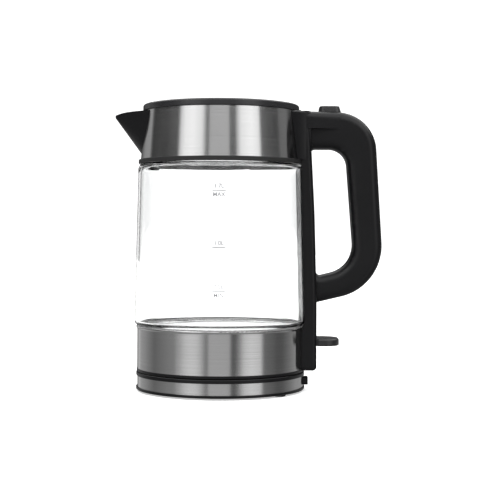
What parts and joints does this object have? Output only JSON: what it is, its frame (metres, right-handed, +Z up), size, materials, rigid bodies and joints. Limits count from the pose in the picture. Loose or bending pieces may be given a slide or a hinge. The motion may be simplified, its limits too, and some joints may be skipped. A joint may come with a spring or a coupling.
{
  "type": "electric kettle",
  "caption": "Cordless electric glass kettle on a round power base, with a hinged lid, a D-shaped handle, a triangular spout and a rocker switch below the handle.",
  "frame": {"origin": "on the kettle's axis, in the plane of the base's three feet (the table top)", "axes": "+Z up along the kettle's axis; spout towards -X, handle towards +X; +Y to the left of the spout-to-handle line seen from the handle"},
  "size_m": [0.2249, 0.145, 0.2397],
  "materials": {
    "black_plastic": "fine satin, moulded",
    "lid_plastic": "satin, moulded",
    "base_plastic": "fine satin, moulded",
    "inner_plastic": "plain moulded",
    "brushed_steel": "brushed along the circumference",
    "plate_steel": "bright, finely brushed",
    "zinc_steel": "bright zinc plated",
    "brass": "bright",
    "clear_glass": "clear, polished",
    "black_rubber": "soft satin",
    "silicone": "translucent grey silicone",
    "mesh_steel": "fine woven mesh"
  },
  "bodies": {
    "power_base": {"base_bottom_cover": "base_plastic", "base_steel_band": "brushed_steel", "base_top_cover": "base_plastic", "base_feet": "black_rubber", "base_screws": "zinc_steel", "base_coupler": "base_plastic", "base_contacts": "brass", "cord_inlet": "base_plastic"},
    "kettle": {"bottom_cover": "base_plastic", "bottom_screws": "zinc_steel", "lower_band": "brushed_steel", "heater_plate": "plate_steel", "heating_element": "zinc_steel", "lower_seal": "silicone", "glass_body": "clear_glass", "glass_gasket": "black_rubber", "kettle_coupler": "inner_plastic", "controller": "inner_plastic", "steam_bimetal": "brass", "trip_pin": "zinc_steel", "collar": "brushed_steel", "mouth_ring": "black_plastic", "spout": "black_plastic", "filter_frame": "black_plastic", "filter_mesh": "mesh_steel", "hinge_pin": "zinc_steel", "lid_spring": "zinc_steel", "handle_frame": "black_plastic", "handle_cover": "black_plastic", "handle_screws": "zinc_steel", "steam_tube": "silicone", "button_spring": "zinc_steel", "latch_spring": "zinc_steel", "switch_pin": "zinc_steel"},
    "kettle_contact": {"kettle_centre_pin": "brass"},
    "lid": {"lid_cover": "lid_plastic", "lid_inner_plate": "plate_steel", "lid_seal": "silicone"},
    "lid_button": {"lid_button": "lid_plastic"},
    "lid_latch": {"lid_latch": "inner_plastic"},
    "switch": {"switch_paddle": "lid_plastic"},
    "trip": {"trip_lever": "inner_plastic"}
  },
  "joints": [
    {"name": "kettle_lift", "type": "slide", "parent": "power_base", "child": "kettle_contact", "axis": [0, 0, 1], "range_m": [0, 0.06]},
    {"name": "kettle_turn", "type": "hinge", "parent": "kettle_contact", "child": "kettle", "pos_m": [0, 0, 0.02], "axis": [0, 0, 1], "continuous": true},
    {"name": "lid_hinge", "type": "hinge", "parent": "kettle", "child": "lid", "pos_m": [0.068, 0, 0.232], "axis": [0, 1, 0], "range_deg": [0, 80]},
    {"name": "button_press", "type": "slide", "parent": "kettle", "child": "lid_button", "axis": [0, 0, -1], "range_m": [0, 0.004], "stiffness_N_per_m": 400, "springref_m": -0.002, "deforming": ["button_spring"]},
    {"name": "latch_slide", "type": "slide", "parent": "kettle", "child": "lid_latch", "axis": [1, 0, 0], "range_m": [0, 0.003], "deforming": ["latch_spring"]},
    {"name": "switch_rock", "type": "hinge", "parent": "kettle", "child": "switch", "pos_m": [0.074, 0, 0.0412], "axis": [0, 1, 0], "range_deg": [0, 11]},
    {"name": "trip_rock", "type": "hinge", "parent": "kettle", "child": "trip", "pos_m": [0.048, 0, 0.038], "axis": [0, 1, 0], "range_deg": [-16.5, 0]}
  ],
  "couplings": [
    {"joint": "latch_slide", "follows": "button_press", "ratio": 0.75},
    {"joint": "trip_rock", "follows": "switch_rock", "ratio": -1.45}
  ]
}
